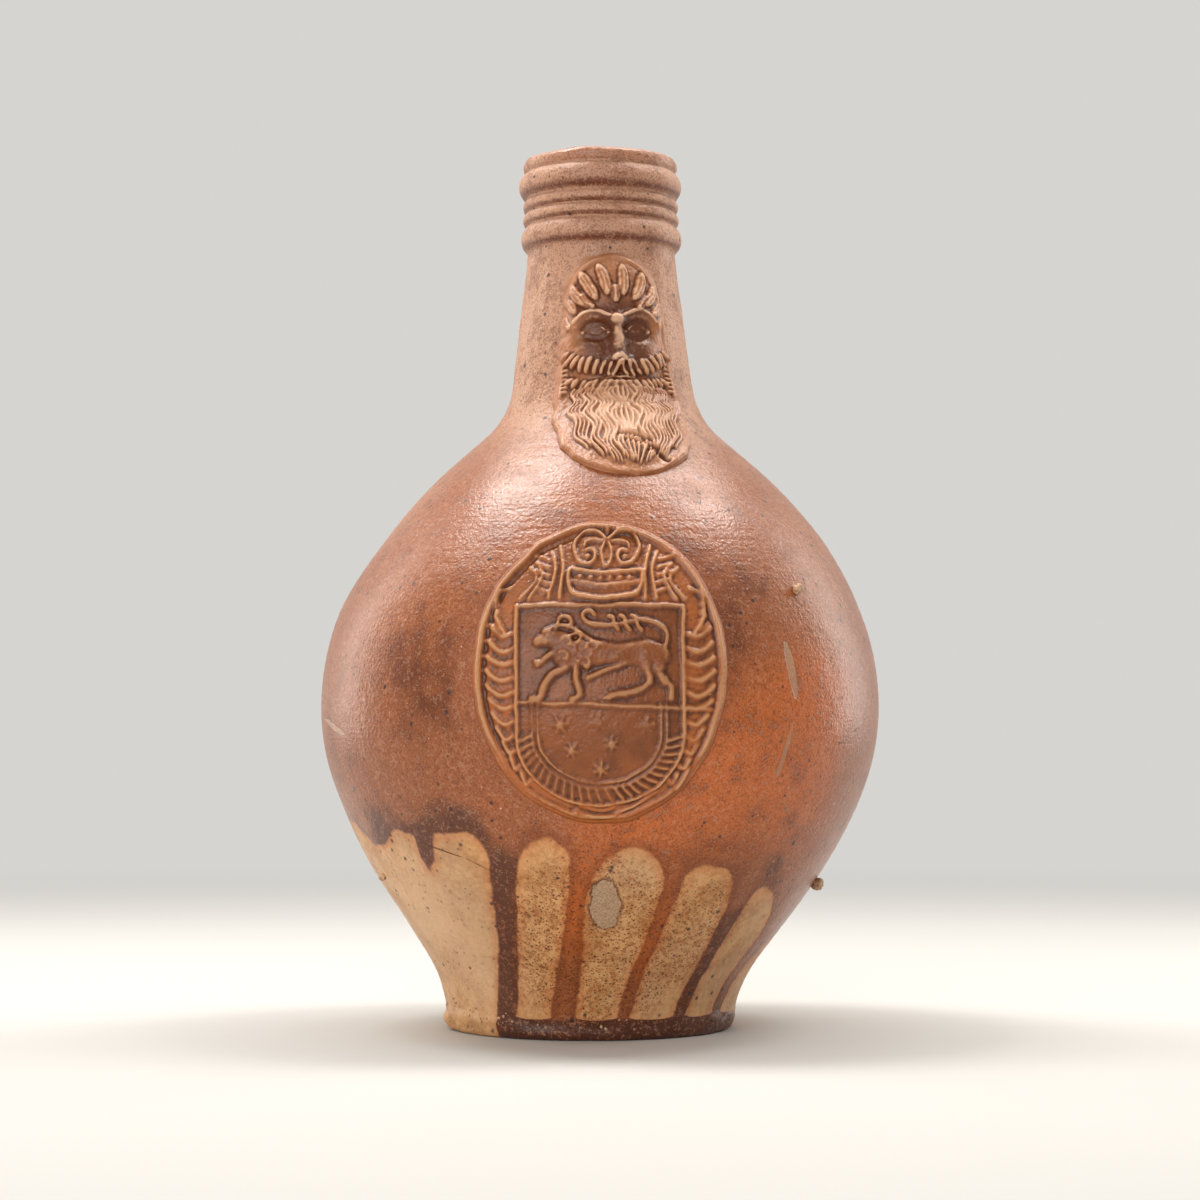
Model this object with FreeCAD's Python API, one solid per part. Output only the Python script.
# Salt-glazed stoneware jug with a bearded mask on the neck and an oval medallion on the belly.
# The thrown pot, the pulled strap handle, the mask and the medallion are four pieces of clay,
# luted together before firing; a few crumbs of kiln grit are stuck to the wall.
# Frame: +Z up, origin at the middle of the base, the mask and the medallion face -Y.
import FreeCAD, Part
import math
import os
from FreeCAD import Vector

# Thrown pot, in millimetres and degrees: its wall is a chain of arcs and straight flanks
jug_height = 220.0
foot_radius = 35.8
foot_band = 3.5
foot_chamfer = 1.2
foot_flare = 11.0
foot_curve = 39.9
belly_radius = 70.4
belly_level = 80.4
low_belly_curve = 56.2
low_belly_turn = 20.0
low_flank_curve = 119.0
high_belly_curve = 64.2
high_belly_turn = 30.0
high_flank_curve = 115.0
flare_curve = 21.0
neck_lean = 7.0
neck_length = 34.3
wall = 5.0
neck_wall = 5.0
floor_thickness = 8.0
floor_radius = 26.0
chord_sag = 0.06
cavity_sag = 0.5

# Turned collar at the mouth: beads from the bottom up, then the lip
groove_radius = 18.7
bead_heights = [6.6, 3.4, 3.4, 7.0]
bead_stands = [1.8, 1.3, 1.25, 2.2]
lip_height = 3.6
lip_stand = 0.9
lip_rise = 0.8
lip_chamfer = 1.4
mouth_bore = 26.0

# Strap handle at the back
handle_root_drop = 8.0
handle_root_width = 25.0
handle_root_thickness = 13.0
handle_width = 20.0
handle_thickness = 9.0
handle_rise = 3.0
handle_reach = 53.0
handle_landing_level = 131.0
handle_tail_width = 19.0
handle_tail_end_level = 112.5
handle_tail_end_width = 9.0
handle_tail_end_thickness = 3.0
handle_stations = 16
handle_sides = 20

# Mask: its middle hangs below the collar, levels and widths are measured from there, stands from the wall
mask_azimuth = 9.0
mask_drop = 32.0
mask_pad_stand = 1.1
mask_pad_top = 30.0
mask_pad_bottom = -29.0
mask_pad_half_top = 11.0
mask_pad_half_middle = 15.5
mask_pad_half_bottom = 13.5
head_level = 8.0
head_half_width = 12.2
head_half_height = 17.5
head_stand = 3.0
bulge_rings = 7
bulge_sides = 28
nose_level = 1.4
nose_length = 12.0
nose_width = 4.2
nose_stand = 5.4
eye_level = 10.0
eye_spacing = 9.6
eye_length = 5.6
eye_height = 2.6
eye_stand = 3.7
brow_length = 7.6
brow_height = 1.8
brow_stand = 4.0
moustache_length = 12.0
moustache_height = 4.4
moustache_stand = 4.2
moustache_overlap = 1.5
hair_locks = 7
hair_lock_length = 9.5
hair_lock_width = 4.0
hair_stand = 3.8
hair_radius = 6.4
beard_top = -3.0
beard_length = 21.0
beard_half_top = 10.5
beard_half_middle = 13.4
beard_half_bottom = 8.5
beard_stand = 2.5
beard_strands = 7
beard_strand_length = 15.5
beard_strand_width = 2.2
beard_strand_stand = 3.3

# Medallion: an oval pressed in one mould, drawn from its own middle
medallion_level = 87.7
medallion_half_width = 28.6
medallion_half_height = 34.2
medallion_pad_stand = 0.9
medallion_pad_margin = 0.5
rim_width = 1.5
rim_stand = 2.1
line_width = 0.9
line_stand = 1.9
shield_half_width = 18.9
shield_top = 14.8
shield_split = -7.8
shield_shoulder = -14.5
shield_point = -30.6
cord_band = 3.8
crown_level = 16.6
crown_band_length = 15.0
crown_band_height = 5.0
crown_leaves = 5
crown_leaf_length = 9.0
crown_leaf_width = 3.4
charge_stand = 2.3
lion_length = 27.0
lion_depth = 7.0
lion_level = 3.2
lion_head_radius = 3.6
lion_leg_length = 7.0
lion_leg_width = 2.0
star_radius = 2.6
star_waist = 0.9
star_points = 6
star_stand = 1.6

# Crumbs of grit that stuck in the kiln: azimuth from the front, level, size
grit_crumbs = [(46.0, 107.5, 2.6), (82.0, 36.5, 3.2), (-70.0, 38.5, 1.8)]
grit_seat = 0.35

# Worked out from the driving dimensions
collar_height = sum(bead_heights) + lip_height
collar_level = jug_height - collar_height
handle_root_level = collar_level - handle_root_drop
mask_level = collar_level - mask_drop
mouth_radius = mouth_bore / 2


def outward(angle):
    """Unit normal of the wall where it leans in by this many degrees, in the (radius, height) plane."""
    turn = math.radians(angle)
    return Vector(math.cos(turn), 0, math.sin(turn))


def upward(angle):
    """Unit heading up the wall where it leans in by this many degrees."""
    turn = math.radians(angle)
    return Vector(-math.sin(turn), 0, math.cos(turn))


def curve(centre, radius, start, end):
    """Arc between two angles about a centre. A negative radius gives a hollow arc."""
    middle = (start + end) / 2
    return Part.Arc(*[centre + outward(angle) * radius for angle in (start, middle, end)])


def flank_radius(curve_radius, turn_point, turn_angle, hollow_centre, hollow_radius):
    """Radius of a flank that leaves a point square to an angle: tighter where the hollow arc is near."""
    across = turn_point - hollow_centre
    room = across.dot(outward(turn_angle)) + hollow_radius
    if room <= 0:
        return curve_radius
    return min(curve_radius, (across.dot(across) - hollow_radius ** 2) / (2 * room))


def flank_angle(full_centre, full_radius, hollow_centre, hollow_radius):
    """Lean of the straight flank that touches a full arc on its outside and a hollow arc on its inside."""
    across = hollow_centre - full_centre
    bearing = math.degrees(math.atan2(across.z, across.x))
    spread = math.degrees(math.acos(min(1.0, (full_radius + hollow_radius) / across.Length)))
    return bearing - math.copysign(spread, across.z)


def flank_between(first, second):
    """Straight flank from one curve to the next, none where the two touch each other."""
    start = end_of(first)
    end = start_of(second)
    return [Part.LineSegment(start, end)] if start.distanceToPoint(end) > 0.01 else []


def chorded(runs, sag):
    """The runs as straight edges that lie within sag of their curves, so that facets stay few."""
    edges = []
    for run in runs:
        steps = 1
        if not isinstance(run, Part.LineSegment):
            step = 2 * math.acos(1 - sag / run.toShape().Curve.Radius)
            steps = math.ceil((run.LastParameter - run.FirstParameter) / step)
        span = (run.LastParameter - run.FirstParameter) / steps
        points = [run.value(run.FirstParameter + index * span) for index in range(steps + 1)]
        edges += [line(first, second) for first, second in zip(points, points[1:])]
    return edges


def meridian(grow=0.0):
    """The outer wall in arcs and lines, moved out by grow: its foot, its belly and shoulder, its neck."""
    belly = Vector(belly_radius, 0, belly_level)
    foot_centre = Vector(foot_radius, 0, foot_band) + outward(-foot_flare) * foot_curve
    low_centre = belly - outward(0) * low_belly_curve
    low_turn = low_centre + outward(-low_belly_turn) * low_belly_curve
    low_flank = flank_radius(low_flank_curve, low_turn, -low_belly_turn, foot_centre, foot_curve)
    low_flank_centre = low_turn - outward(-low_belly_turn) * low_flank
    low_lean = flank_angle(low_flank_centre, low_flank, foot_centre, foot_curve)

    neck_run = neck_length / math.cos(math.radians(neck_lean))
    collar = Vector(groove_radius, 0, collar_level)
    neck_foot = collar - upward(neck_lean) * neck_run
    flare_centre = neck_foot + outward(neck_lean) * flare_curve
    high_centre = belly - outward(0) * high_belly_curve
    high_turn = high_centre + outward(high_belly_turn) * high_belly_curve
    high_flank = flank_radius(high_flank_curve, high_turn, high_belly_turn, flare_centre, flare_curve)
    high_flank_centre = high_turn - outward(high_belly_turn) * high_flank
    high_lean = flank_angle(high_flank_centre, high_flank, flare_centre, flare_curve)

    foot_arc = curve(foot_centre, -(foot_curve - grow), -foot_flare, low_lean)
    low_flank_arc = curve(low_flank_centre, low_flank + grow, low_lean, -low_belly_turn)
    low_belly_arc = curve(low_centre, low_belly_curve + grow, -low_belly_turn, 0)
    high_belly_arc = curve(high_centre, high_belly_curve + grow, 0, high_belly_turn)
    high_flank_arc = curve(high_flank_centre, high_flank + grow, high_belly_turn, high_lean)
    flare_arc = curve(flare_centre, -(flare_curve - grow), high_lean, neck_lean)
    foot = [foot_arc] + flank_between(foot_arc, low_flank_arc)
    belly_runs = [low_flank_arc, low_belly_arc, high_belly_arc, high_flank_arc]
    belly_runs += flank_between(high_flank_arc, flare_arc) + [flare_arc]
    neck = [Part.LineSegment(end_of(flare_arc), collar + outward(neck_lean) * grow)]
    return foot, belly_runs, neck


def wall_edges(grow=0.0):
    """The whole outer wall as straight edges, moved out by grow."""
    foot, belly_runs, neck = meridian(grow)
    return chorded(foot + belly_runs + neck, chord_sag)


def start_of(run):
    return run.value(run.FirstParameter)


def end_of(run):
    return run.value(run.LastParameter)


def wall_at(level):
    """Point on the outer wall at a level, and the outward normal there, in the (radius, height) plane."""
    for edge in wall_edges():
        start, end = [vertex.Point for vertex in edge.Vertexes]
        if start.z <= level <= end.z:
            along = (end - start).normalize()
            return start + along * ((level - start.z) / along.z), Vector(along.z, 0, -along.x)
    raise ValueError("no wall at level %g" % level)


def line(start, end):
    return Part.makeLine(start, end)


def arc(start, middle, end):
    return Part.Arc(start, middle, end).toShape()


def arc_from(start, heading, end):
    """Arc that leaves its start along a heading and reaches its end."""
    chord = end - start
    side = (chord - heading * chord.dot(heading)).normalize()
    radius = chord.Length ** 2 / (2 * chord.dot(side))
    centre = start + side * radius
    middle = centre + ((start + end) * 0.5 - centre).normalize() * radius
    return Part.Arc(start, middle, end)


def turned(edges):
    """Solid of revolution about Z of a closed outline in the XZ plane."""
    outline = Part.Wire(Part.__sortEdges__(edges))
    return Part.Face(outline).revolve(Vector(0, 0, 0), Vector(0, 0, 1), 360)


def filled_pot(grow=0.0):
    """The outer form without its cavity, moved out by grow, from the foot band to the collar."""
    edges = wall_edges(grow)
    bottom = edges[0].Vertexes[0].Point
    top = edges[-1].Vertexes[-1].Point
    edges.append(line(top, Vector(0, 0, top.z)))
    edges.append(line(Vector(0, 0, top.z), Vector(0, 0, bottom.z)))
    edges.append(line(Vector(0, 0, bottom.z), bottom))
    return turned(edges)


def collar_edges():
    """Beads and grooves of the collar, from the neck up over the lip to the bore."""
    edges = []
    level = collar_level
    for height, stand in zip(bead_heights, bead_stands):
        start = Vector(groove_radius, 0, level)
        end = Vector(groove_radius, 0, level + height)
        bead = Part.Arc(start, Vector(groove_radius + stand, 0, level + height / 2), end)
        edges += chorded([bead], chord_sag)
        level += height
    lip_radius = groove_radius + lip_stand
    corners = [
        Vector(groove_radius, 0, level),
        Vector(lip_radius, 0, level + lip_rise),
        Vector(lip_radius, 0, jug_height - lip_chamfer),
        Vector(lip_radius - lip_chamfer, 0, jug_height),
        Vector(mouth_radius + lip_chamfer, 0, jug_height),
        Vector(mouth_radius, 0, jug_height - lip_chamfer),
    ]
    edges += [line(first, second) for first, second in zip(corners, corners[1:])]
    return edges


def make_body():
    """Thrown pot: flat base, foot band, belly, neck and beaded collar, hollow all the way."""
    inner = meridian(-wall)[1]
    low_end = start_of(inner[0])
    low_heading = inner[0].tangent(inner[0].FirstParameter)[0] * -1
    neck_foot = end_of(inner[-1])
    floor_edge = Vector(floor_radius, 0, floor_thickness)
    cavity = chorded(inner + [arc_from(low_end, low_heading, floor_edge)], cavity_sag)
    cavity += [
        line(Vector(mouth_radius, 0, jug_height - lip_chamfer), Vector(mouth_radius, 0, collar_level)),
        line(Vector(mouth_radius, 0, collar_level), neck_foot),
        line(floor_edge, Vector(0, 0, floor_thickness)),
    ]
    corners = [
        Vector(0, 0, floor_thickness),
        Vector(0, 0, 0),
        Vector(foot_radius - foot_chamfer, 0, 0),
        Vector(foot_radius, 0, foot_chamfer),
        Vector(foot_radius, 0, foot_band),
    ]
    foot = [line(first, second) for first, second in zip(corners, corners[1:])]
    return turned(wall_edges() + collar_edges() + cavity + foot)


def at_back(point):
    """A point of the (radius, height) plane turned to the back of the jug, +Y."""
    return Vector(0, point.x, point.z)


def oval(centre, across, through, width, thickness, sides):
    """Closed outline of straight sides round an ellipse, width along across and thickness along through."""
    corners = []
    for index in range(sides + 1):
        turn = 2 * math.pi * (index % sides + 0.5) / sides
        reach = across * (width / 2 * math.cos(turn)) + through * (thickness / 2 * math.sin(turn))
        corners.append(centre + reach)
    return Part.makePolygon(corners)


def eased(share):
    return share * share * (3 - 2 * share)


def between(marks, share):
    """Value at a share of the way along, eased between the marks (share, value)."""
    for (start, first), (end, second) in zip(marks, marks[1:]):
        if share <= end:
            return first + (second - first) * eased((share - start) / (end - start))
    return marks[-1][1]


def make_handle(pot):
    """Pulled strap from below the collar to the shoulder, its tail pressed out along the wall."""
    landing, landing_normal = wall_at(handle_landing_level)
    tail, tail_normal = wall_at(handle_tail_end_level)
    middle, middle_normal = wall_at((handle_landing_level + handle_tail_end_level) / 2)
    guides = [
        Vector(groove_radius - neck_wall, 0, handle_root_level - 0.5),
        Vector(handle_reach * 0.56, 0, handle_root_level + handle_rise),
        Vector(handle_reach * 0.85, 0, handle_root_level - handle_thickness * 0.5),
        Vector(handle_reach, 0, handle_root_level - handle_thickness * 2.2),
        Vector(handle_reach - 0.6, 0, (handle_root_level + handle_landing_level * 2) / 3),
        landing + landing_normal * (handle_thickness * 0.42),
        middle + middle_normal * (handle_thickness * 0.2),
        tail + tail_normal * 0.3,
    ]
    widths = [
        (0, handle_root_width),
        (0.3, handle_width),
        (0.8, handle_tail_width - 1),
        (0.9, handle_tail_width),
        (1, handle_tail_end_width),
    ]
    thicknesses = [
        (0, handle_root_thickness),
        (0.3, handle_thickness),
        (0.7, handle_thickness - 0.5),
        (1, handle_tail_end_thickness),
    ]
    spine = Part.BSplineCurve()
    spine.interpolate([at_back(guide) for guide in guides])
    sections = []
    for index in range(handle_stations):
        share = index / (handle_stations - 1)
        parameter = spine.FirstParameter + share * (spine.LastParameter - spine.FirstParameter)
        along = spine.tangent(parameter)[0]
        width = between(widths, share)
        thickness = between(thicknesses, share)
        across = Vector(1, 0, 0)
        through = along.cross(across).normalize()
        sections.append(oval(spine.value(parameter), across, through, width, thickness, handle_sides))
    strap = Part.makeLoft(sections, True, True)
    return largest(strap.cut(pot))


def largest(shape):
    return max(shape.Solids, key=lambda solid: solid.Volume)


def drawn(points):
    """Closed outline with straight sides, drawn with right as X and up as Y."""
    corners = [Vector(x, y, 0) for x, y in points]
    return Part.makePolygon(corners + corners[:1])


def egg(top, bottom, half_top, half_middle, half_bottom):
    """Closed outline of four arcs, given its top and bottom levels and its half widths."""
    shoulder = top - (top - bottom) * 0.22
    hip = bottom + (top - bottom) * 0.16
    middle = (shoulder + hip) / 2
    right_shoulder = Vector(half_top, shoulder, 0)
    left_shoulder = Vector(-half_top, shoulder, 0)
    right_hip = Vector(half_bottom, hip, 0)
    left_hip = Vector(-half_bottom, hip, 0)
    return Part.Wire(
        [
            arc(left_shoulder, Vector(0, top, 0), right_shoulder),
            arc(right_shoulder, Vector(half_middle, middle, 0), right_hip),
            arc(right_hip, Vector(0, bottom, 0), left_hip),
            arc(left_hip, Vector(-half_middle, middle, 0), left_shoulder),
        ]
    )


def ellipse_wire(half_width, half_height):
    ellipse = Part.Ellipse(Vector(0, half_height, 0), Vector(half_width, 0, 0), Vector(0, 0, 0))
    return Part.Wire([ellipse.toShape()])


def capsule(x1, y1, x2, y2, width):
    """Closed outline round a straight run, with round ends."""
    start = Vector(x1, y1, 0)
    end = Vector(x2, y2, 0)
    along = (end - start).normalize() * (width / 2)
    side = Vector(-along.y, along.x, 0)
    return Part.Wire(
        [
            line(start + side, end + side),
            arc(end + side, end + along, end - side),
            line(end - side, start - side),
            arc(start - side, start - along, start + side),
        ]
    )


def leaf(x, y, angle, length, width, bend=0.0):
    """Pointed leaf of two arcs from its root at (x, y). A bend swings both arcs to its left."""
    along = Vector(math.cos(math.radians(angle)), math.sin(math.radians(angle)), 0)
    left = Vector(-along.y, along.x, 0)
    root = Vector(x, y, 0)
    tip = root + along * length
    middle = (root + tip) * 0.5 + left * bend
    return Part.Wire([arc(root, middle + left * (width / 2), tip), arc(tip, middle - left * (width / 2), root)])


def ring_face(outer, inner):
    """Face between two closed outlines, the second inside the first."""
    return Part.Face(outer).cut(Part.Face(inner)).Faces[0]


def raised(outlines, level, stand):
    """What the outlines enclose, stood up at a level, run forward and topped at a stand above the wall."""
    blocks = []
    for outline in outlines:
        face = outline.copy() if outline.ShapeType == "Face" else Part.Face(outline)
        face.rotate(Vector(0, 0, 0), Vector(1, 0, 0), 90)
        face.translate(Vector(0, 0, level))
        blocks.append(face.extrude(Vector(0, -2 * belly_radius, 0)))
    block = blocks[0].multiFuse(blocks[1:]) if len(blocks) > 1 else blocks[0]
    return block.common(filled_pot(stand))


def seated(layers, pot):
    """One solid from all layers, seated on the pot's outer wall."""
    block = layers[0].multiFuse(layers[1:])
    return largest(block.cut(pot).removeSplitter())


def bulge(across, above, half_width, half_height, stand):
    """Rounded swelling on the neck: rings of an ellipsoid sunk in the wall so that only its cap stands out."""
    sink = 0.45
    place, normal = wall_at(mask_level + above)
    lean = math.degrees(math.atan2(normal.z, normal.x))
    edge_drop = place.x - math.sqrt(place.x ** 2 - half_width ** 2)
    thickness = (stand + edge_drop) / (1 - sink)
    spread = math.sqrt(1 - sink ** 2)
    rings = []
    for index in range(bulge_rings + 1):
        turn = math.radians(84) * index / bulge_rings
        centre = Vector(0, -thickness * math.sin(turn), 0)
        width = 2 * half_width / spread * math.cos(turn)
        height = 2 * half_height / spread * math.cos(turn)
        rings.append(oval(centre, Vector(1, 0, 0), Vector(0, 0, 1), width, height, bulge_sides))
    cap = Part.makeLoft(rings, True, True)
    turn = math.asin(across / place.x)
    cap.rotate(Vector(0, 0, 0), Vector(1, 0, 0), -lean)
    cap.rotate(Vector(0, 0, 0), Vector(0, 0, 1), math.degrees(turn))
    out = place.x + (stand - thickness) * math.cos(math.radians(lean))
    cap.translate(Vector(out * math.sin(turn), -out * math.cos(turn), place.z))
    return cap


def make_mask(pot):
    """Bearded mask: a pad of clay that carries the head, its hair, the moustache and a combed beard."""
    pad = egg(mask_pad_top, mask_pad_bottom, mask_pad_half_top, mask_pad_half_middle, mask_pad_half_bottom)
    beard_bottom = beard_top - beard_length
    beard = egg(beard_top, beard_bottom, beard_half_top, beard_half_middle, beard_half_bottom)
    eyes = []
    brows = []
    moustache = []
    for side in (-1, 1):
        outer_way = 90 - 90 * side
        eye_root = side * (eye_spacing - eye_length) / 2
        eyes.append(leaf(eye_root, eye_level, outer_way, eye_length, eye_height))
        brow_way = outer_way + side * 6
        brows.append(leaf(side * nose_width / 3, eye_level + 3, brow_way, brow_length, brow_height, side * 0.8))
        moustache_way = outer_way - side * 22
        root = -side * moustache_overlap
        moustache.append(leaf(root, nose_level - 1, moustache_way, moustache_length, moustache_height, side * 1.2))
    locks = []
    for index in range(hair_locks):
        fan = 160 * (index / (hair_locks - 1) - 0.5)
        x = hair_radius * math.sin(math.radians(fan))
        y = head_level + head_half_height * 0.5 + hair_radius * 0.4 * math.cos(math.radians(fan))
        locks.append(leaf(x, y, 90 - fan, hair_lock_length, hair_lock_width))
    strands = []
    for index in range(beard_strands):
        share = 2 * index / (beard_strands - 1) - 1
        x = share * beard_half_top * 0.72
        y = beard_top - 2.4 + 2.0 * share * share
        bend = share * 1.6
        strands.append(leaf(x, y, 270 + share * 5, beard_strand_length, beard_strand_width, bend))
    layers = [
        raised([pad], mask_level, mask_pad_stand),
        bulge(0, head_level, head_half_width, head_half_height, head_stand),
        bulge(0, nose_level + nose_length * 0.4, nose_width / 2, nose_length * 0.55, nose_stand),
        raised(eyes, mask_level, eye_stand),
        raised(brows, mask_level, brow_stand),
        raised(moustache, mask_level, moustache_stand),
        raised(locks, mask_level, hair_stand),
        raised([beard], mask_level, beard_stand),
        raised(strands, mask_level, beard_strand_stand),
    ]
    mask = seated(layers, pot)
    mask.rotate(Vector(0, 0, 0), Vector(0, 0, 1), mask_azimuth)
    return mask


def shield_wire(inset, upper):
    """Flat-topped shield with straight sides and a round foot, moved in by inset from a top level."""
    half = shield_half_width - inset
    top = upper - (inset % cord_band)
    foot = shield_point + inset
    knee = Vector(half * math.sqrt(0.5), shield_shoulder + (foot - shield_shoulder) * math.sqrt(0.5), 0)
    right = Vector(half, shield_shoulder, 0)
    left = Vector(-half, shield_shoulder, 0)
    bottom = Vector(0, foot, 0)
    return Part.Wire(
        [
            line(Vector(-half, top, 0), Vector(half, top, 0)),
            line(Vector(half, top, 0), right),
            arc(right, knee, bottom),
            arc(bottom, Vector(-knee.x, knee.y, 0), left),
            line(left, Vector(-half, top, 0)),
        ]
    )


def star(x, y):
    """Star with straight pointed rays."""
    corners = []
    for index in range(2 * star_points):
        reach = star_radius if index % 2 == 0 else star_waist
        angle = math.pi / 2 + math.pi * index / star_points
        corners.append((x + reach * math.cos(angle), y + reach * math.sin(angle)))
    return drawn(corners)


def lion():
    """Walking lion facing left: body, head, four legs and a raised tail, each a plain outline."""
    half = lion_length / 2
    under = lion_level - lion_depth * 0.3
    body = leaf(-half, lion_level + 0.6, -1, lion_length, lion_depth)
    head = Part.Wire([Part.Circle(Vector(-half * 0.74, lion_level + 3, 0), Vector(0, 0, 1), lion_head_radius).toShape()])
    legs = []
    for root, stride in ((-0.62, -2.6), (-0.36, 0.6), (0.42, -2.6), (0.66, 1.0)):
        x = half * root
        legs.append(capsule(x, under, x + stride, under - lion_leg_length, lion_leg_width))
    rump = half * 0.9
    tail_top = lion_level + lion_depth
    tail = capsule(rump, lion_level + 0.4, rump - 0.6, tail_top, line_width * 1.4)
    tail_end = leaf(rump - 0.4, tail_top, 178, lion_length * 0.55, lion_depth * 0.3, -0.6)
    return [body, head, tail, tail_end] + legs


def make_medallion(pot):
    """Oval medallion: rim, crowned shield with a second line inside its foot, lion over six stars."""
    rim_outline = ellipse_wire(medallion_half_width, medallion_half_height)
    rim_inside = ellipse_wire(medallion_half_width - rim_width, medallion_half_height - rim_width)
    pad_half_width = medallion_half_width + medallion_pad_margin
    pad_half_height = medallion_half_height + medallion_pad_margin
    lines = [
        ring_face(shield_wire(0, shield_top), shield_wire(line_width, shield_top)),
        ring_face(shield_wire(cord_band, shield_split), shield_wire(cord_band + line_width, shield_split)),
        capsule(-shield_half_width, shield_split, shield_half_width, shield_split, line_width),
    ]
    crown_half = crown_band_length / 2
    crown_top = crown_level + crown_band_height
    for y in (crown_level, crown_top):
        lines.append(capsule(-crown_half, y, crown_half, y, line_width))
    for index in range(crown_leaves):
        share = 2 * index / (crown_leaves - 1) - 1
        reach = crown_leaf_length * (1 - 0.2 * share * share)
        lines.append(leaf(share * crown_half * 0.8, crown_top, 90 - 20 * share, reach, crown_leaf_width))
    row = (shield_split - shield_point) / 4
    stars = []
    for count, drop in ((3, 1), (2, 2), (1, 3)):
        for index in range(count):
            x = (index - (count - 1) / 2) * star_radius * 3.4
            stars.append(star(x, shield_split - row * drop + 0.6 * drop))
    layers = [
        raised([ellipse_wire(pad_half_width, pad_half_height)], medallion_level, medallion_pad_stand),
        raised([ring_face(rim_outline, rim_inside)], medallion_level, rim_stand),
        raised(lines, medallion_level, line_stand),
        raised(lion(), medallion_level, charge_stand),
        raised(stars, medallion_level, star_stand),
    ]
    return seated(layers, pot)


def make_grit(pot):
    """Crumbs of clay that dropped on the pot in the kiln: six-sided lumps seated on the wall."""
    crumbs = []
    for azimuth, level, size in grit_crumbs:
        place, normal = wall_at(level)
        lump = Part.makeBox(size, size, size, Vector(-size / 2, -size / 2, -size / 2))
        lump = lump.makeChamfer(size * 0.28, lump.Edges)
        lump.rotate(Vector(0, 0, 0), Vector(1, 1, 0), azimuth)
        lump.translate(place + normal * (size * (0.5 - grit_seat)))
        lump.rotate(Vector(0, 0, 0), Vector(0, 0, 1), azimuth - 90)
        crumbs.append(largest(lump.cut(pot)))
    return Part.makeCompound(crumbs)


def main():
    os.makedirs("parts", exist_ok=True)
    pot = filled_pot()
    parts = {
        "body": make_body(),
        "handle": make_handle(pot),
        "mask": make_mask(pot),
        "medallion": make_medallion(pot),
        "kiln_grit": make_grit(pot),
    }
    for name, shape in parts.items():
        shape.exportStep("parts/%s.step" % name)
        print(name, "valid", shape.isValid(), "solids", len(shape.Solids), "volume %.1f" % shape.Volume)


main()
